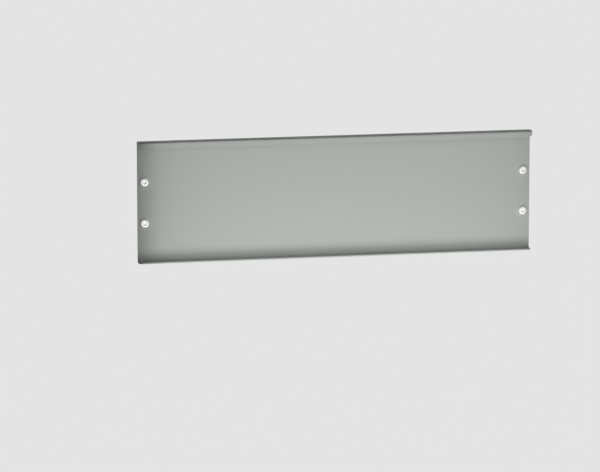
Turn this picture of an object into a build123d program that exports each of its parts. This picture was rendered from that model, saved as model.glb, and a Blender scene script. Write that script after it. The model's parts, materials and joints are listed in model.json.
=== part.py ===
from build123d import *
import math
import os

# A blanking panel: one folded steel sheet, held by four button head screws.
# Millimetres. +X runs along the panel, +Z is up, and the front faces -Y.
# The origin is the centre of the four holes, on the rear face that lies against the rails.

# Sheet
sheet_thickness = 1.5
bend_inside_radius = 1.0
corner_radius = 5.0

# Folds, both forward of the face
fold_depth = 13.5
lip_height = 8.0

# Holes, and how far the sheet reaches past them
hole_spacing_x = 465.1
hole_spacing_z = 50.0
end_margin = 8.75
top_margin = 49.75
bottom_margin = 47.25
hole_clearance = 0.3

# Screws
thread_diameter = 6.0
neck_diameter = 5.35
neck_projection = 0.5
screw_length = 12.0
tip_chamfer = 0.8
head_diameter = 10.5
head_height = 3.3
head_rim = 0.45
head_flat_diameter = 5.6
head_underside_radius = 0.25
socket_across_flats = 4.0
socket_depth = 2.1
socket_lead_in = 0.25
socket_point_angle = 120.0

# Worked out from the sizes above
panel_width = hole_spacing_x + 2 * end_margin
bend_outside_radius = bend_inside_radius + sheet_thickness
panel_top = hole_spacing_z / 2 + top_margin
panel_bottom = -hole_spacing_z / 2 - bottom_margin
face_front = -sheet_thickness
fold_front = -fold_depth
lip_back = fold_front + sheet_thickness
lip_bottom = panel_top - lip_height
lip_flat = lip_height - bend_outside_radius
shelf_flat = fold_depth - bend_outside_radius
screw_radius = thread_diameter / 2
neck_radius = neck_diameter / 2
hole_radius = screw_radius + hole_clearance
selection_margin = sheet_thickness / 10


def bend(outline, corners, radius):
    """Round the named corners of the section, as a press brake does."""
    picked = [
        vertex for vertex in outline.vertices()
        if any(math.hypot(vertex.Y - y, vertex.Z - z) < selection_margin for y, z in corners)
    ]
    return fillet(picked, radius)


def section_face():
    """The folded section, seen from the side: lip, top fold, face and bottom shelf."""
    outside = [
        (fold_front, lip_bottom),
        (fold_front, panel_top),
        (0, panel_top),
        (0, panel_bottom),
        (fold_front, panel_bottom),
    ]
    inside = [
        (fold_front, panel_bottom + sheet_thickness),
        (face_front, panel_bottom + sheet_thickness),
        (face_front, panel_top - sheet_thickness),
        (lip_back, panel_top - sheet_thickness),
        (lip_back, lip_bottom),
    ]
    outline = make_face(Plane.YZ * Polyline(*outside, *inside, close=True))
    outline = bend(outline, outside[1:4], bend_outside_radius)
    return bend(outline, inside[1:4], bend_inside_radius)


def lip_corners(blank):
    """The two free corners of the lip, at the ends of its lower edge."""
    return blank.edges().filter_by(Axis.Y).filter_by_position(
        Axis.Z, lip_bottom - selection_margin, lip_bottom + selection_margin
    )


def shelf_corners(blank):
    """The two free corners of the bottom shelf, at the ends of its front edge."""
    return blank.edges().filter_by(Axis.Z).filter_by_position(
        Axis.Y, fold_front - selection_margin, fold_front + selection_margin
    ).filter_by_position(Axis.Z, panel_bottom, panel_bottom + sheet_thickness)


def hole_centres():
    """The four hole centres on the rear face."""
    return [
        Pos(side * hole_spacing_x / 2, 0, level * hole_spacing_z / 2)
        for side in (-1, 1)
        for level in (-1, 1)
    ]


def make_panel():
    """One sheet folded three times, with rounded free corners and four round holes."""
    blank = extrude(section_face(), panel_width / 2, both=True)
    blank = fillet(lip_corners(blank), min(corner_radius, lip_flat))
    blank = fillet(shelf_corners(blank), min(corner_radius, shelf_flat))
    drill = Rot(X=90) * Cylinder(hole_radius, 4 * sheet_thickness)
    return blank - [centre * drill for centre in hole_centres()]


def screw_profile():
    """Half of the screw's section: radius along X, and the screw's axis along Y.

    The plain neck under the head reaches just behind the sheet, where the thread starts.
    """
    head_radius = head_diameter / 2
    head_top = face_front - head_height
    flat_radius = head_flat_diameter / 2
    tip = face_front + screw_length
    rim_start = (head_radius, face_front - head_rim)
    dome_end = (flat_radius, head_top)
    dome_middle = (
        flat_radius + (head_radius - flat_radius) * math.cos(math.radians(45)),
        face_front - head_rim - (head_height - head_rim) * math.sin(math.radians(45)),
    )
    underside_end = (neck_radius + head_underside_radius, face_front)
    neck_start = (neck_radius, face_front + head_underside_radius)
    neck_end = (neck_radius, neck_projection)
    thread_start = (screw_radius, neck_projection + screw_radius - neck_radius)
    thread_end = (screw_radius, tip - tip_chamfer)
    tip_edge = (screw_radius - tip_chamfer, tip)
    dome = ThreePointArc(dome_end, dome_middle, rim_start)
    underside = Polyline(rim_start, (head_radius, face_front), underside_end)
    throat = RadiusArc(underside_end, neck_start, head_underside_radius)
    shank = Polyline(neck_start, neck_end, thread_start, thread_end, tip_edge, (0, tip))
    axis = Polyline((0, tip), (0, head_top), dome_end)
    return make_face(Curve() + [dome, underside, throat, shank, axis])


def make_socket():
    """The hexagon socket, with a lead-in at its mouth and a drilled point at its floor."""
    head_top = face_front - head_height
    flat_radius = socket_across_flats / 2
    corner_reach = flat_radius / math.cos(math.radians(30))
    mouth_plane = Plane((0, head_top, 0), x_dir=(1, 0, 0), z_dir=(0, 1, 0))
    hexagon = extrude(mouth_plane * RegularPolygon(corner_reach, 6), socket_depth)
    point_height = flat_radius / math.tan(math.radians(socket_point_angle / 2))
    point = mouth_plane * Pos(0, 0, socket_depth + point_height / 2) * Cone(
        flat_radius, 0, point_height
    )
    mouth_radius = corner_reach + socket_lead_in
    mouth = mouth_plane * Pos(0, 0, mouth_radius / 2) * Cone(mouth_radius, 0, mouth_radius)
    return hexagon + point + mouth


def make_screw():
    """One button head screw, its head on the face and its shank out behind."""
    return revolve(screw_profile(), Axis.Y) - make_socket()


os.makedirs("parts", exist_ok=True)

panel = make_panel()
screw = make_screw()
mounting_screws = Compound(children=[centre * screw for centre in hole_centres()])

export_step(panel, "parts/panel.step")
export_step(mounting_screws, "parts/mounting_screws.step")
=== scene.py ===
import json
import math

import bmesh
import bpy
from bpy.props import FloatProperty, FloatVectorProperty, IntProperty, PointerProperty
from mathutils import Matrix, Vector


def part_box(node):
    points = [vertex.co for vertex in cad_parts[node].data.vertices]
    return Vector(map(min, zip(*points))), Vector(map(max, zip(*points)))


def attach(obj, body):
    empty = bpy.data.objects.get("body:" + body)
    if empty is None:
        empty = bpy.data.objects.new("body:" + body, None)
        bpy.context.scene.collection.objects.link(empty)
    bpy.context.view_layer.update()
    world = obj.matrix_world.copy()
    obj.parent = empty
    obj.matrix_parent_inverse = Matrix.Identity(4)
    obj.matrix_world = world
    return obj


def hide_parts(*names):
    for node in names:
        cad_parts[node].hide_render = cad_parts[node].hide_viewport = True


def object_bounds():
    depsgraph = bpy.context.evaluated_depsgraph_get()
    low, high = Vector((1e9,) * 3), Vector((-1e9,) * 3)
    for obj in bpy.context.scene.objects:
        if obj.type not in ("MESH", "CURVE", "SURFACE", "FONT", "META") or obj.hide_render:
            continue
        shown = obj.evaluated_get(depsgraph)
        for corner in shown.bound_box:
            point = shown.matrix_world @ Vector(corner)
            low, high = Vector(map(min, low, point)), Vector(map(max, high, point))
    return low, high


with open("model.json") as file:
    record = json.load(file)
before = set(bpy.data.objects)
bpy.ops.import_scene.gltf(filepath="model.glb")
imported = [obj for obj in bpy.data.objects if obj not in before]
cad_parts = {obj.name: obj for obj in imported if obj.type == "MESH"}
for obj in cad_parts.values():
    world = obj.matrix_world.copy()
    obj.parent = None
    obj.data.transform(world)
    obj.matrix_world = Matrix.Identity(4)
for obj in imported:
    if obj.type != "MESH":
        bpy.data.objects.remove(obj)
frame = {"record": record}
cad_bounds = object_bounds()

bl_info = {
    "name": "Blanking Panel",
    "version": (1, 0, 0),
    "blender": (4, 5, 0),
    "location": "3D View > Sidebar > Blanking Panel",
    "description": "Models a folded sheet blanking panel with its four button head screws",
    "category": "Add Mesh",
}

MM = 0.001
SAME_PLACE = 0.01 * MM
MERGE_DISTANCE = SAME_PLACE / 10
BOX_TOLERANCE = 0.05 * MM
QUARTER_TURN = math.radians(90)
HEXAGON_SIDES = 6
ROUND_PROFILE = 0.5

# A Mix node that is set to colours takes its two colours and gives its result at these sockets.
MIX_COLOR_INPUTS = (6, 7)
MIX_COLOR_RESULT = 2

mounts = {mount["name"]: mount for mount in frame["record"]["mounts"]}
stud_sizes = mounts["screw_studs"]["dims"]


def record_color(slot):
    """The colour that the record gives one material slot."""
    for material in frame["record"]["materials"]:
        if material["slot"] == slot:
            return material["base_color"][:3]
    raise RuntimeError(f"the record has no material slot {slot}")


class FoldedSheetSettings(bpy.types.PropertyGroup):
    """Sizes and finish of the folded sheet"""

    thickness: FloatProperty(
        name="Thickness", description="Thickness of the steel sheet with its coat",
        default=1.5 * MM, min=0.5 * MM, unit="LENGTH")
    bend_radius: FloatProperty(
        name="Bend radius", description="Inside radius of the three folds",
        default=1.0 * MM, min=0.2 * MM, unit="LENGTH")
    bend_segments: IntProperty(
        name="Bend segments", description="Flat strips that make up each fold",
        default=10, min=3)
    lip_height: FloatProperty(
        name="Lip height", description="Height of the lip that hangs from the top fold",
        default=8.0 * MM, min=4.0 * MM, unit="LENGTH")
    corner_radius: FloatProperty(
        name="Corner radius", description="Rounding of the free corners of lip and shelf",
        default=5.0 * MM, min=0.5 * MM, unit="LENGTH")
    corner_segments: IntProperty(
        name="Corner segments", description="Straight edges that make up each rounded corner",
        default=12, min=3)
    hole_diameter: FloatProperty(
        name="Hole diameter", description="Diameter of the four screw holes",
        default=6.6 * MM, min=2.0 * MM, unit="LENGTH")
    edge_rounding: FloatProperty(
        name="Edge rounding", description="How far the coat rounds the cut edges",
        default=0.25 * MM, min=0.02 * MM, unit="LENGTH")
    coat_color: FloatVectorProperty(
        name="Coat colour", description="Colour of the powder coat",
        default=(0.455, 0.485, 0.448), min=0.0, max=1.0, subtype="COLOR")


class MountingScrewSettings(bpy.types.PropertyGroup):
    """Sizes and finish of the four screws"""

    thread_diameter: FloatProperty(
        name="Thread diameter", description="Outside diameter of the thread",
        default=2 * stud_sizes["stud_r_mm"] * MM, min=2.0 * MM, unit="LENGTH")
    thread_pitch: FloatProperty(
        name="Thread pitch", description="Distance from one turn of the thread to the next",
        default=1.0 * MM, min=0.3 * MM, unit="LENGTH")
    length: FloatProperty(
        name="Length", description="Length under the head",
        default=12.0 * MM, min=4.0 * MM, unit="LENGTH")
    neck_diameter: FloatProperty(
        name="Neck diameter", description="Diameter of the plain neck under the head",
        default=5.35 * MM, min=2.0 * MM, unit="LENGTH")
    neck_projection: FloatProperty(
        name="Neck projection", description="How far the plain neck reaches behind the sheet",
        default=0.5 * MM, min=0.1 * MM, unit="LENGTH")
    tip_chamfer: FloatProperty(
        name="Tip chamfer", description="Chamfer at the end of the thread",
        default=0.8 * MM, min=0.1 * MM, unit="LENGTH")
    head_diameter: FloatProperty(
        name="Head diameter", description="Outside diameter of the button head",
        default=10.5 * MM, min=4.0 * MM, unit="LENGTH")
    head_height: FloatProperty(
        name="Head height", description="Height of the button head",
        default=3.3 * MM, min=1.0 * MM, unit="LENGTH")
    head_rim: FloatProperty(
        name="Head rim", description="Height of the straight rim under the dome",
        default=0.45 * MM, min=0.05 * MM, unit="LENGTH")
    head_flat: FloatProperty(
        name="Head flat", description="Diameter of the flat round the socket",
        default=5.6 * MM, min=2.0 * MM, unit="LENGTH")
    socket_width: FloatProperty(
        name="Socket width", description="Width of the hexagon socket across its flats",
        default=4.0 * MM, min=1.0 * MM, unit="LENGTH")
    socket_depth: FloatProperty(
        name="Socket depth", description="Depth of the hexagon socket",
        default=2.1 * MM, min=0.5 * MM, unit="LENGTH")
    socket_lead_in: FloatProperty(
        name="Socket lead-in", description="Width of the bevel at the mouth of the socket",
        default=0.25 * MM, min=0.02 * MM, unit="LENGTH")
    edge_rounding: FloatProperty(
        name="Edge rounding", description="Rounding of the head's edges",
        default=0.06 * MM, min=0.01 * MM, unit="LENGTH")
    zinc_color: FloatVectorProperty(
        name="Zinc colour", description="Colour of the bright zinc plating",
        default=record_color("screw_zinc"), min=0.0, max=1.0, subtype="COLOR")


class StageSettings(bpy.types.PropertyGroup):
    """The camera, the light and the floor"""

    azimuth: FloatProperty(
        name="Azimuth", description="How far the camera stands to the left of straight ahead",
        default=math.radians(11.265), subtype="ANGLE")
    elevation: FloatProperty(
        name="Elevation", description="How far the camera stands above the horizon",
        default=math.radians(10.146), subtype="ANGLE")
    roll: FloatProperty(
        name="Roll", description="Turn of the camera about its own line of sight",
        default=math.radians(-0.041), subtype="ANGLE")
    distance: FloatProperty(
        name="Distance", description="From the camera to the plane of the panel",
        default=4.8178, min=0.5, unit="LENGTH")
    viewing_angle: FloatProperty(
        name="Viewing angle", description="Width of the picture as an angle",
        default=math.radians(8.591), subtype="ANGLE")
    aim: FloatVectorProperty(
        name="Aim", description="Point of the panel's plane at the middle of the picture",
        default=(-0.04302, 0.0, -0.04716), unit="LENGTH")
    floor_drop: FloatProperty(
        name="Floor drop", description="How far the floor lies below the panel",
        default=1.0, min=0.0, unit="LENGTH")
    key_power: FloatProperty(
        name="Key power", description="Power of the soft light low in front",
        default=2.11, min=0.0, unit="POWER")
    fill_power: FloatProperty(
        name="Fill power", description="Power of the soft light a little below level in front",
        default=1.43, min=0.0, unit="POWER")
    back_power: FloatProperty(
        name="Back power", description="Power of the soft light low behind",
        default=2.5, min=0.0, unit="POWER")
    sky_strength: FloatProperty(
        name="Sky strength", description="Soft light from all round, at the horizon",
        default=0.92, min=0.0)
    overhead_share: FloatProperty(
        name="Overhead share",
        description="Light from straight above, as a share of that at the horizon",
        default=0.2, min=0.0, max=1.0, subtype="FACTOR")
    backdrop_color: FloatVectorProperty(
        name="Backdrop colour", description="Colour of the floor and backdrop as they are seen",
        default=(0.95, 0.95, 0.95), min=0.0, max=1.0, subtype="COLOR")


def deselect_all():
    """Leave nothing selected, so that the next operator acts only on what it adds."""
    bpy.ops.object.select_all(action="DESELECT")


def work_on(piece):
    """Make this the only selected object and the active one."""
    deselect_all()
    piece.select_set(True)
    bpy.context.view_layer.objects.active = piece


def added(name):
    """Name the object that was just added, and settle it at the origin, unturned."""
    piece = bpy.context.active_object
    piece.name = name
    piece.data.name = name
    bpy.ops.object.transform_apply(location=True, rotation=True, scale=True)
    return piece


def places(part):
    """Where a vertex is, or the two ends of an edge."""
    return [part.co] if isinstance(part, bmesh.types.BMVert) else [v.co for v in part.verts]


def pick(piece, kind, test):
    """In edit mode, select only those vertices or edges whose every point passes."""
    bpy.ops.mesh.select_mode(type=kind)
    bpy.ops.mesh.select_all(action="DESELECT")
    mesh = bmesh.from_edit_mesh(piece.data)
    parts = {"VERT": mesh.verts, "EDGE": mesh.edges}[kind]
    found = [part for part in parts if all(test(corner) for corner in places(part))]
    if not found:
        raise RuntimeError(f"{piece.name} has nothing to pick there")
    for part in found:
        part.select_set(True)
    mesh.select_flush_mode()
    bmesh.update_edit_mesh(piece.data)


def near(value, target):
    """Whether two places along one axis are the same."""
    return abs(value - target) < SAME_PLACE


def extrude(x=0.0, y=0.0, z=0.0):
    """Extrude what is selected by this much."""
    bpy.ops.mesh.extrude_region_move(TRANSFORM_OT_translate={"value": (x, y, z)})


def finish_with(piece, kind, **values):
    """Give the piece a modifier with these values and apply it."""
    work_on(piece)
    bpy.ops.object.modifier_add(type=kind)
    modifier = piece.modifiers[-1]
    for name, value in values.items():
        setattr(modifier, name, value)
    bpy.ops.object.modifier_apply(modifier=modifier.name)


def combine(piece, tool, operation):
    """Join, cut or trim the piece with a tool, which is used up."""
    finish_with(piece, "BOOLEAN", object=tool, operation=operation, solver="EXACT")
    bpy.data.objects.remove(tool)


def tidy_mesh(piece):
    """Merge doubled points and turn every face outwards."""
    work_on(piece)
    bpy.ops.object.mode_set(mode="EDIT")
    bpy.ops.mesh.select_all(action="SELECT")
    bpy.ops.mesh.remove_doubles(threshold=MERGE_DISTANCE)
    bpy.ops.mesh.normals_make_consistent(inside=False)
    bpy.ops.object.mode_set(mode="OBJECT")


def shade(piece, angle):
    """Shade smoothly across edges flatter than this, and keep the flats flat."""
    work_on(piece)
    bpy.ops.object.shade_smooth_by_angle(angle=angle)
    finish_with(piece, "WEIGHTED_NORMAL", keep_sharp=True)


def declare(piece, node, material):
    """Give the piece its finish, hang it from the root body and hide the CAD node that it replaces.
    """
    piece.data.materials.clear()
    piece.data.materials.append(material)
    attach(piece, "root")
    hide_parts(node)


def check_box(pieces, node):
    """Stop if the pieces don't fill the box of the node that they stand for."""
    corners = [piece.matrix_world @ vertex.co for piece in pieces for vertex in piece.data.vertices]
    low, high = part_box(node)
    for axis in range(3):
        reach = [corner[axis] for corner in corners]
        gaps = abs(min(reach) - low[axis]), abs(max(reach) - high[axis])
        if max(gaps) > BOX_TOLERANCE:
            raise RuntimeError(f"{pieces[0].name} doesn't fill the box of {node} along axis {axis}")


def new_tree(owner):
    """An empty node tree for a material or the world."""
    owner.use_nodes = True
    owner.node_tree.nodes.clear()
    return owner.node_tree


def add_node(tree, kind, values=None, **settings):
    """Add a node with its settings, and the values of its input sockets by name."""
    node = tree.nodes.new(kind)
    for name, value in settings.items():
        setattr(node, name, value)
    for name, value in (values or {}).items():
        node.inputs[name].default_value = value
    return node


def surface_grain():
    """The fine unevenness of a coated or plated surface, shared by both finishes.

    Height is for a bump, and Mottle says how the colour and gloss drift over the surface.
    """
    name = "surface grain"
    if name in bpy.data.node_groups:
        return bpy.data.node_groups[name]
    group = bpy.data.node_groups.new(name, "ShaderNodeTree")
    sockets = group.interface
    sockets.new_socket(name="Position", in_out="INPUT", socket_type="NodeSocketVector")
    for socket, value in (("Wave scale", 600.0), ("Grain scale", 3000.0),
                          ("Grain share", 0.3), ("Mottle scale", 20.0)):
        made = sockets.new_socket(name=socket, in_out="INPUT", socket_type="NodeSocketFloat")
        made.default_value = value
    sockets.new_socket(name="Height", in_out="OUTPUT", socket_type="NodeSocketFloat")
    sockets.new_socket(name="Mottle", in_out="OUTPUT", socket_type="NodeSocketFloat")
    inside = add_node(group, "NodeGroupInput")
    out = add_node(group, "NodeGroupOutput")
    link = group.links.new
    waves = add_node(group, "ShaderNodeTexNoise", {"Detail": 1.0, "Roughness": 0.4})
    grain = add_node(group, "ShaderNodeTexNoise", {"Detail": 2.0, "Roughness": 0.5})
    mottle = add_node(group, "ShaderNodeTexNoise", {"Detail": 3.0, "Roughness": 0.55})
    for texture, scale in ((waves, "Wave scale"), (grain, "Grain scale"), (mottle, "Mottle scale")):
        link(inside.outputs["Position"], texture.inputs["Vector"])
        link(inside.outputs[scale], texture.inputs["Scale"])
    height = add_node(group, "ShaderNodeMix", data_type="FLOAT")
    link(inside.outputs["Grain share"], height.inputs["Factor"])
    link(waves.outputs["Fac"], height.inputs["A"])
    link(grain.outputs["Fac"], height.inputs["B"])
    link(height.outputs["Result"], out.inputs["Height"])
    link(mottle.outputs["Fac"], out.inputs["Mottle"])
    return group


def grained_finish(name, grain, bump, roughness, colors, shader_values):
    """A material whose relief, gloss and colour drift with the surface grain."""
    mottle_low, mottle_high = 0.3, 0.7
    gloss_low, gloss_high = roughness
    material = bpy.data.materials.new(name)
    tree = new_tree(material)
    link = tree.links.new
    position = add_node(tree, "ShaderNodeTexCoord")
    surface = add_node(tree, "ShaderNodeGroup")
    surface.node_tree = surface_grain()
    for socket, value in grain.items():
        surface.inputs[socket].default_value = value
    relief = add_node(tree, "ShaderNodeBump", bump)
    gloss = add_node(tree, "ShaderNodeMapRange", {
        "From Min": mottle_low, "From Max": mottle_high, "To Min": gloss_low, "To Max": gloss_high})
    tint = add_node(tree, "ShaderNodeMix", data_type="RGBA")
    for socket, color in zip(MIX_COLOR_INPUTS, colors):
        tint.inputs[socket].default_value = (*color, 1.0)
    shader = add_node(tree, "ShaderNodeBsdfPrincipled", shader_values)
    out = add_node(tree, "ShaderNodeOutputMaterial")
    link(position.outputs["Object"], surface.inputs["Position"])
    link(surface.outputs["Height"], relief.inputs["Height"])
    link(surface.outputs["Mottle"], gloss.inputs["Value"])
    link(surface.outputs["Mottle"], tint.inputs["Factor"])
    link(tint.outputs[MIX_COLOR_RESULT], shader.inputs["Base Color"])
    link(gloss.outputs["Result"], shader.inputs["Roughness"])
    link(relief.outputs["Normal"], shader.inputs["Normal"])
    link(shader.outputs["BSDF"], out.inputs["Surface"])
    return material


def scaled(color, factor):
    """A lighter or darker colour of the same hue."""
    return tuple(min(1.0, channel * factor) for channel in color)


def powder_coat(color):
    """Satin powder coat: a soft orange peel with a finer grain on it."""
    darkest, lightest = 0.975, 1.025
    return grained_finish(
        "powder coat",
        grain={
            "Wave scale": 520.0, "Grain scale": 2600.0, "Grain share": 0.35, "Mottle scale": 14.0},
        bump={"Strength": 0.6, "Distance": 0.05 * MM},
        roughness=(0.50, 0.58),
        colors=(scaled(color, darkest), scaled(color, lightest)),
        shader_values={"Specular IOR Level": 0.35})


def bright_zinc(color):
    """Bright zinc plating: clean metal, a little clouded."""
    darkest, lightest = 0.82, 0.90
    return grained_finish(
        "bright zinc",
        grain={
            "Wave scale": 1400.0, "Grain scale": 9000.0, "Grain share": 0.5, "Mottle scale": 260.0},
        bump={"Strength": 0.4, "Distance": 0.004 * MM},
        roughness=(0.48, 0.60),
        colors=(scaled(color, darkest), scaled(color, lightest)),
        shader_values={"Metallic": 1.0})


def flat_sheet():
    """The panel's rear skin, still flat, where it lies against the rails."""
    low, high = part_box("panel")
    deselect_all()
    bpy.ops.mesh.primitive_plane_add(
        size=1, location=(0, high.y, (low.z + high.z) / 2), rotation=(QUARTER_TURN, 0, 0))
    bpy.ops.transform.resize(value=(high.x - low.x, 1, high.z - low.z))
    return added("folded_sheet")


def fold_sheet(sheet, settings):
    """Bring the top and the bottom edge forward, then turn the lip down."""
    low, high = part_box("panel")
    reach = high.y - low.y
    outside_radius = settings.bend_radius + settings.thickness
    lip_end = high.z - settings.lip_height
    work_on(sheet)
    bpy.ops.object.mode_set(mode="EDIT")
    pick(sheet, "EDGE", lambda corner: near(corner.z, low.z))
    extrude(y=-reach)
    pick(sheet, "EDGE", lambda corner: near(corner.z, high.z))
    extrude(y=-reach)
    extrude(z=-settings.lip_height)

    def on_fold(corner):
        rear = near(corner.y, high.y)
        return near(corner.z, high.z) or (rear and near(corner.z, low.z))

    pick(sheet, "EDGE", on_fold)
    mesh = bmesh.from_edit_mesh(sheet.data)
    for edge in mesh.edges:
        along_panel = abs(edge.verts[0].co.x - edge.verts[1].co.x) > SAME_PLACE
        if edge.select and not along_panel:
            edge.select_set(False)
    bmesh.update_edit_mesh(sheet.data)
    bpy.ops.mesh.bevel(
        offset=outside_radius, offset_type="OFFSET", segments=settings.bend_segments,
        profile=ROUND_PROFILE, affect="EDGES")

    def on_free_corner(corner):
        at_front = near(corner.y, low.y)
        return at_front and (near(corner.z, lip_end) or near(corner.z, low.z))

    pick(sheet, "VERT", on_free_corner)
    bpy.ops.mesh.bevel(
        offset=settings.corner_radius, offset_type="ABSOLUTE",
        segments=settings.corner_segments, profile=ROUND_PROFILE, affect="VERTICES")
    bpy.ops.object.mode_set(mode="OBJECT")


def screw_places():
    """The four screw axes on the rear face, each with a name."""
    half_x = stud_sizes["spacing_x_mm"] * MM / 2
    half_z = stud_sizes["spacing_y_mm"] * MM / 2
    return {
        f"{side}_{level}": Vector((x, 0, z))
        for side, x in (("left", -half_x), ("right", half_x))
        for level, z in (("lower", -half_z), ("upper", half_z))
    }


def drill_holes(sheet, settings):
    """Drill the four screw holes right through the sheet."""
    drill_sides = 64
    drill_length = 4 * settings.thickness
    for place in screw_places().values():
        deselect_all()
        bpy.ops.mesh.primitive_cylinder_add(
            vertices=drill_sides, radius=settings.hole_diameter / 2, depth=drill_length,
            location=place, rotation=(QUARTER_TURN, 0, 0))
        combine(sheet, added("drill"), "DIFFERENCE")


def turned(name, stations, sides=96):
    """A closed solid turned about the Y axis, from rings given as place along Y and radius."""
    first_place, first_radius = stations[0]
    deselect_all()
    bpy.ops.mesh.primitive_circle_add(
        vertices=sides, radius=first_radius, fill_type="NGON",
        location=(0, first_place, 0), rotation=(-QUARTER_TURN, 0, 0))
    piece = added(name)
    bpy.ops.object.mode_set(mode="EDIT")
    bpy.ops.mesh.select_all(action="SELECT")
    for (place, radius), (next_place, next_radius) in zip(stations, stations[1:]):
        extrude(y=next_place - place)
        if next_radius == 0:
            bpy.ops.mesh.merge(type="CENTER")
        else:
            ratio = next_radius / radius
            bpy.ops.transform.resize(value=(ratio, 1, ratio), center_override=(0, next_place, 0))
    bpy.ops.object.mode_set(mode="OBJECT")
    tidy_mesh(piece)
    return piece


def head_stations(settings, seat):
    """The head's section from its neck to its flat, as places along Y and radii."""
    neck = settings.neck_diameter / 2
    rim = settings.head_diameter / 2
    flat = settings.head_flat / 2
    throat = 0.25 * MM
    dome_steps = 14
    throat_steps = 4
    stations = [(settings.neck_projection, neck), (seat + throat, neck)]
    for step in range(1, throat_steps + 1):
        turn = QUARTER_TURN * step / throat_steps
        place = seat + throat - throat * math.sin(turn)
        stations.append((place, neck + throat - throat * math.cos(turn)))
    stations.append((seat, rim))
    for step in range(dome_steps + 1):
        turn = QUARTER_TURN * step / dome_steps
        rise = (settings.head_height - settings.head_rim) * math.sin(turn)
        stations.append((seat - settings.head_rim - rise, flat + (rim - flat) * math.cos(turn)))
    return stations


def cut_socket(head, settings, top):
    """Cut the hexagon socket, the point that its drill leaves and the bevel at its mouth."""
    spare = 0.4 * MM
    point_share = 0.92
    point_half_angle = math.radians(60)
    point_sides = 48
    half_width = settings.socket_width / 2
    corner = half_width / math.cos(math.pi / HEXAGON_SIDES)
    floor = top + settings.socket_depth
    point_radius = point_share * half_width
    point_tip = floor + point_radius / math.tan(point_half_angle)
    mouth = corner + settings.socket_lead_in
    hexagon = [(top - spare, corner), (floor, corner)]
    drill_point = [(floor - spare, point_radius), (floor, point_radius), (point_tip, 0)]
    lead_in = [(top - spare, mouth + spare), (top + mouth, 0)]
    combine(head, turned("hexagon", hexagon, HEXAGON_SIDES), "DIFFERENCE")
    combine(head, turned("drill_point", drill_point, point_sides), "DIFFERENCE")
    combine(head, turned("lead_in", lead_in), "DIFFERENCE")


def screw_head(settings, seat):
    """The button head with its plain neck, its socket cut and its edges eased."""
    head = turned("mounting_screw", head_stations(settings, seat))
    cut_socket(head, settings, seat - settings.head_height)
    finish_with(
        head, "BEVEL", width=settings.edge_rounding, segments=2, limit_method="ANGLE",
        angle_limit=math.radians(40), use_clamp_overlap=True)
    return head


def thread_outline(settings):
    """One pitch of the thread's section: root, flank, crest and flank, each slightly rounded."""
    pitch = settings.thread_pitch
    crest = settings.thread_diameter / 2
    depth = 0.55 * pitch
    root = crest - depth
    ease = 0.04 * pitch
    section = (
        (root, 0.0), (root, 0.15), (root + ease, 0.21),
        (crest - ease, 0.4725), (crest, 0.5125), (crest, 0.6375), (crest - ease, 0.6775),
        (root + ease, 0.94), (root, 1.0))
    return [Vector((radius, share * pitch, 0)) for radius, share in section]


def threaded_rod(settings, start, end):
    """A rod with a real helical thread, cut square at both ends."""
    turn_steps = 60
    turns_before = 2
    pitch = settings.thread_pitch
    turns = turns_before + math.ceil((end - start) / pitch) + 1
    points = thread_outline(settings)
    deselect_all()
    bpy.ops.mesh.primitive_plane_add(size=pitch)
    rod = added("thread")
    bpy.ops.object.mode_set(mode="EDIT")
    bpy.ops.mesh.select_all(action="SELECT")
    bpy.ops.mesh.merge(type="CENTER")
    bpy.ops.transform.translate(
        value=points[0] + Vector((0, start - turns_before * pitch, 0)))
    for point, following in zip(points, points[1:]):
        extrude(*(following - point))
    bpy.ops.object.mode_set(mode="OBJECT")
    finish_with(
        rod, "SCREW", axis="Y", screw_offset=pitch, iterations=turns, steps=turn_steps,
        render_steps=turn_steps, use_merge_vertices=False)
    tidy_mesh(rod)
    bpy.ops.object.mode_set(mode="EDIT")
    for place, inner in ((start, True), (end, False)):
        bpy.ops.mesh.select_all(action="SELECT")
        bpy.ops.mesh.bisect(
            plane_co=(0, place, 0), plane_no=(0, 1, 0), use_fill=True,
            clear_inner=inner, clear_outer=not inner, threshold=MERGE_DISTANCE)
    bpy.ops.object.mode_set(mode="OBJECT")
    tidy_mesh(rod)
    return rod


def threaded_shank(settings, seat):
    """The thread, trimmed to its run-out behind the neck and to its chamfered tip."""
    tip = seat + settings.length
    crest = settings.thread_diameter / 2
    clear = 0.3 * MM
    step = 0.02 * MM
    blank_sides = 120
    start_radius = settings.neck_diameter / 2 - step
    start = settings.neck_projection
    rod = threaded_rod(settings, start - 2 * clear, tip + clear)
    run_out = crest + clear - start_radius
    tip_rise = settings.tip_chamfer + clear
    blank = turned("blank", [
        (start - clear, start_radius - clear),
        (start + run_out, crest + clear),
        (tip - tip_rise, crest + clear),
        (tip, crest - settings.tip_chamfer),
    ], blank_sides)
    combine(rod, blank, "INTERSECT")
    return rod


def screw_copies(screw):
    """Four screws from one, each turned as it happened to be tightened."""
    turns = (0.35, 1.30, 0.80, 0.15)
    copies = []
    for (name, place), turn in zip(screw_places().items(), turns):
        work_on(screw)
        bpy.ops.object.duplicate(linked=False)
        bpy.ops.transform.rotate(value=turn, orient_axis="Y", center_override=(0, 0, 0))
        bpy.ops.transform.translate(value=place)
        copies.append(added(f"mounting_screw_{name}"))
    bpy.data.objects.remove(screw)
    return copies


def seen_rays(tree):
    """Whether the ray shows the surface to the camera, directly, in metal or through glass."""
    path = add_node(tree, "ShaderNodeLightPath")
    pair = add_node(tree, "ShaderNodeMath", operation="MAXIMUM")
    seen = add_node(tree, "ShaderNodeMath", operation="MAXIMUM")
    tree.links.new(path.outputs["Is Camera Ray"], pair.inputs[0])
    tree.links.new(path.outputs["Is Glossy Ray"], pair.inputs[1])
    tree.links.new(pair.outputs[0], seen.inputs[0])
    tree.links.new(path.outputs["Is Transmission Ray"], seen.inputs[1])
    return seen.outputs[0]


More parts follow.
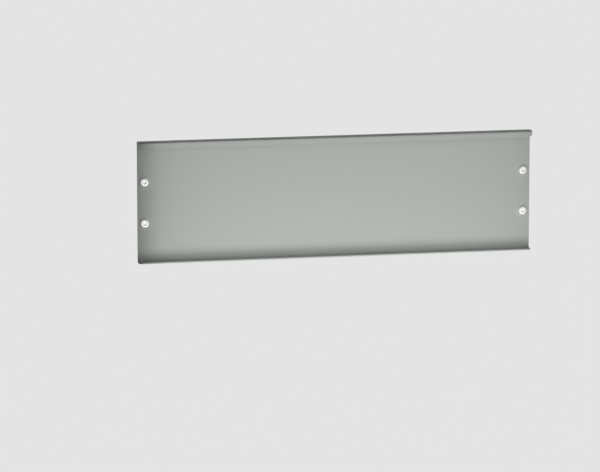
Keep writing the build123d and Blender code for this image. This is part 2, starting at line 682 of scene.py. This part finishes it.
def light_sky(settings):
    """A world that lights softly, less from above, and is seen as the pale backdrop.

    It dims from level to steep, which are heights of a direction that is 1 long.
    """
    level, steep = 0.0, 0.6
    world = bpy.data.worlds.new("studio")
    bpy.context.scene.world = world
    tree = new_tree(world)
    direction = add_node(tree, "ShaderNodeTexCoord")
    parts = add_node(tree, "ShaderNodeSeparateXYZ")
    dimming = add_node(tree, "ShaderNodeMapRange", {
        "From Min": level, "From Max": steep, "To Min": settings.sky_strength,
        "To Max": settings.sky_strength * settings.overhead_share})
    light = add_node(tree, "ShaderNodeBackground", {"Color": (1.0, 1.0, 1.0, 1.0)})
    backdrop = add_node(tree, "ShaderNodeBackground", {"Color": (*settings.backdrop_color, 1.0)})
    mix = add_node(tree, "ShaderNodeMixShader")
    out = add_node(tree, "ShaderNodeOutputWorld")
    tree.links.new(direction.outputs["Generated"], parts.inputs[0])
    tree.links.new(parts.outputs["Z"], dimming.inputs["Value"])
    tree.links.new(dimming.outputs["Result"], light.inputs["Strength"])
    tree.links.new(seen_rays(tree), mix.inputs[0])
    tree.links.new(light.outputs[0], mix.inputs[1])
    tree.links.new(backdrop.outputs[0], mix.inputs[2])
    tree.links.new(mix.outputs[0], out.inputs["Surface"])


def floor_material(settings):
    """A pale floor that keeps the shadows and is seen in the backdrop's colour."""
    shadow_share = 0.25
    material = bpy.data.materials.new("pale floor")
    tree = new_tree(material)
    matt = add_node(tree, "ShaderNodeBsdfDiffuse", {"Color": (*settings.backdrop_color, 1.0)})
    glow = add_node(tree, "ShaderNodeEmission", {"Color": (*settings.backdrop_color, 1.0)})
    share = add_node(tree, "ShaderNodeMath", operation="MULTIPLY")
    share.inputs[1].default_value = 1.0 - shadow_share
    mix = add_node(tree, "ShaderNodeMixShader")
    out = add_node(tree, "ShaderNodeOutputMaterial")
    tree.links.new(seen_rays(tree), share.inputs[0])
    tree.links.new(share.outputs[0], mix.inputs[0])
    tree.links.new(matt.outputs[0], mix.inputs[1])
    tree.links.new(glow.outputs[0], mix.inputs[2])
    tree.links.new(mix.outputs[0], out.inputs["Surface"])
    return material


def flag_cloth():
    """Matt black cloth."""
    cloth_black = (0.02, 0.02, 0.02, 1.0)
    material = bpy.data.materials.new("flag cloth")
    tree = new_tree(material)
    matt = add_node(tree, "ShaderNodeBsdfDiffuse", {"Color": cloth_black})
    out = add_node(tree, "ShaderNodeOutputMaterial")
    tree.links.new(matt.outputs[0], out.inputs["Surface"])
    return material


def lay_floor(settings):
    """A plain floor below the panel."""
    floor_size = 60.0
    low, _ = cad_bounds
    deselect_all()
    bpy.ops.mesh.primitive_plane_add(size=floor_size, location=(0, 0, low.z - settings.floor_drop))
    floor = added("floor")
    floor.data.materials.append(floor_material(settings))


def hang_soft_light(name, location, width, height, power):
    """A rectangular soft light that faces the panel and isn't seen by the camera itself."""
    to_panel = Vector((0, 0, 0)) - Vector(location)
    turn = to_panel.to_track_quat("-Z", "Y").to_euler()
    deselect_all()
    bpy.ops.object.light_add(type="AREA", location=location, rotation=turn)
    light = bpy.context.active_object
    light.name = name
    light.data.shape = "RECTANGLE"
    light.data.size = width
    light.data.size_y = height
    light.data.energy = power
    light.visible_camera = False


def hang_flag(name, cloth, low, high):
    """A dark card between two opposite corners, which shades one edge and isn't seen."""
    span = Vector(high) - Vector(low)
    deselect_all()
    bpy.ops.mesh.primitive_cube_add(size=1, location=(Vector(low) + Vector(high)) / 2)
    bpy.ops.transform.resize(value=span)
    flag = added(name)
    flag.data.materials.append(cloth)
    flag.visible_camera = False
    flag.visible_glossy = False


def hang_flags():
    """Cards at both ends and above the panel, from its rear face forward.

    The card at the left end has a hood in front, which reaches over the end.
    """
    low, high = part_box("panel")
    cloth = flag_cloth()
    card = 2 * MM
    spare = 40 * MM
    left = low.x - 0.5 * MM
    right = high.x + 8 * MM
    top = high.z + 8 * MM
    rear = high.y
    left_front = rear - 45 * MM
    right_front = rear - 28 * MM
    top_front = rear - 24 * MM
    hood_end = low.x + 12 * MM
    lower = low.z - spare
    upper = high.z + spare
    for name, low_corner, high_corner in (
        ("left_flag", (left - card, left_front, lower), (left, rear, upper)),
        ("left_hood", (left - card, left_front - card, lower), (hood_end, left_front, upper)),
        ("right_flag", (right, right_front, lower), (right + card, rear, upper)),
        ("top_flag", (left, top_front, top), (right, rear, top + card)),
    ):
        hang_flag(name, cloth, low_corner, high_corner)


def place_camera(settings):
    """The camera, at the viewing angle and framing of the reference."""
    az, el, roll = settings.azimuth, settings.elevation, settings.roll
    ahead = Vector((math.sin(az) * math.cos(el), math.cos(az) * math.cos(el), -math.sin(el)))
    level = Vector((math.cos(az), -math.sin(az), 0))
    upright = level.cross(ahead)
    right = math.cos(roll) * level + math.sin(roll) * upright
    up = math.cos(roll) * upright - math.sin(roll) * level
    turn = Matrix((right, up, -ahead)).transposed().to_4x4()
    deselect_all()
    bpy.ops.object.camera_add()
    camera = bpy.context.active_object
    camera.name = "camera"
    camera.data.sensor_fit = "HORIZONTAL"
    camera.data.angle = settings.viewing_angle
    place = Vector(settings.aim) - settings.distance * ahead
    camera.matrix_world = Matrix.Translation(place) @ turn
    bpy.context.scene.camera = camera


class BLANKING_PANEL_OT_fold_sheet(bpy.types.Operator):
    """Fold the panel from one flat sheet, drill it and coat it"""

    bl_idname = "blanking_panel.fold_sheet"
    bl_label = "Fold the Sheet"

    def execute(self, context):
        settings = context.scene.folded_sheet
        sheet = flat_sheet()
        fold_sheet(sheet, settings)
        finish_with(
            sheet, "SOLIDIFY", thickness=settings.thickness, offset=1.0, use_even_offset=True)
        tidy_mesh(sheet)
        drill_holes(sheet, settings)
        finish_with(
            sheet, "BEVEL", width=settings.edge_rounding, segments=3, limit_method="ANGLE",
            angle_limit=math.radians(60))
        shade(sheet, angle=math.radians(40))
        check_box([sheet], "panel")
        declare(sheet, "panel", powder_coat(settings.coat_color))
        return {"FINISHED"}


class BLANKING_PANEL_OT_turn_screws(bpy.types.Operator):
    """Turn one button head screw, thread it and fit four of them"""

    bl_idname = "blanking_panel.turn_screws"
    bl_label = "Turn the Screws"

    def execute(self, context):
        settings = context.scene.mounting_screws
        seat = -context.scene.folded_sheet.thickness
        screw = screw_head(settings, seat)
        combine(screw, threaded_shank(settings, seat), "UNION")
        shade(screw, angle=math.radians(32))
        copies = screw_copies(screw)
        check_box(copies, "mounting_screws")
        finish = bright_zinc(settings.zinc_color)
        for copy in copies:
            declare(copy, "mounting_screws", finish)
        return {"FINISHED"}


class BLANKING_PANEL_OT_set_stage(bpy.types.Operator):
    """Set the floor, the soft lights, the dark cards and the camera"""

    bl_idname = "blanking_panel.set_stage"
    bl_label = "Set the Stage"

    def execute(self, context):
        settings = context.scene.panel_stage
        context.scene.view_settings.view_transform = "Standard"
        light_sky(settings)
        lay_floor(settings)
        # Each light's name, place, width, height and power.
        for name, location, width, height, power in (
            ("key_light", (0.0, -0.46, -0.475), 0.80, 0.27, settings.key_power),
            ("fill_light", (0.0, -0.62, -0.223), 0.80, 0.365, settings.fill_power),
            ("back_light", (0.40, 1.00, -0.30), 1.0, 0.5, settings.back_power),
        ):
            hang_soft_light(name, location, width, height, power)
        hang_flags()
        place_camera(settings)
        return {"FINISHED"}


class BLANKING_PANEL_PT_sidebar(bpy.types.Panel):
    """The steps that make the blanking panel, with their settings"""

    bl_idname = "BLANKING_PANEL_PT_sidebar"
    bl_label = "Blanking Panel"
    bl_space_type = "VIEW_3D"
    bl_region_type = "UI"
    bl_category = "Blanking Panel"

    def draw(self, context):
        for step, settings in (
            (BLANKING_PANEL_OT_fold_sheet, context.scene.folded_sheet),
            (BLANKING_PANEL_OT_turn_screws, context.scene.mounting_screws),
            (BLANKING_PANEL_OT_set_stage, context.scene.panel_stage),
        ):
            box = self.layout.box()
            for name in settings.__annotations__:
                box.prop(settings, name)
            box.operator(step.bl_idname)


CLASSES = (
    FoldedSheetSettings,
    MountingScrewSettings,
    StageSettings,
    BLANKING_PANEL_OT_fold_sheet,
    BLANKING_PANEL_OT_turn_screws,
    BLANKING_PANEL_OT_set_stage,
    BLANKING_PANEL_PT_sidebar,
)


def register():
    for cls in CLASSES:
        bpy.utils.register_class(cls)
    bpy.types.Scene.folded_sheet = PointerProperty(type=FoldedSheetSettings)
    bpy.types.Scene.mounting_screws = PointerProperty(type=MountingScrewSettings)
    bpy.types.Scene.panel_stage = PointerProperty(type=StageSettings)


def unregister():
    del bpy.types.Scene.panel_stage
    del bpy.types.Scene.mounting_screws
    del bpy.types.Scene.folded_sheet
    for cls in reversed(CLASSES):
        bpy.utils.unregister_class(cls)


def main():
    """Make the panel and its stage."""
    register()
    bpy.ops.blanking_panel.fold_sheet()
    bpy.ops.blanking_panel.turn_screws()
    bpy.ops.blanking_panel.set_stage()


if __name__ == "__main__":
    main()
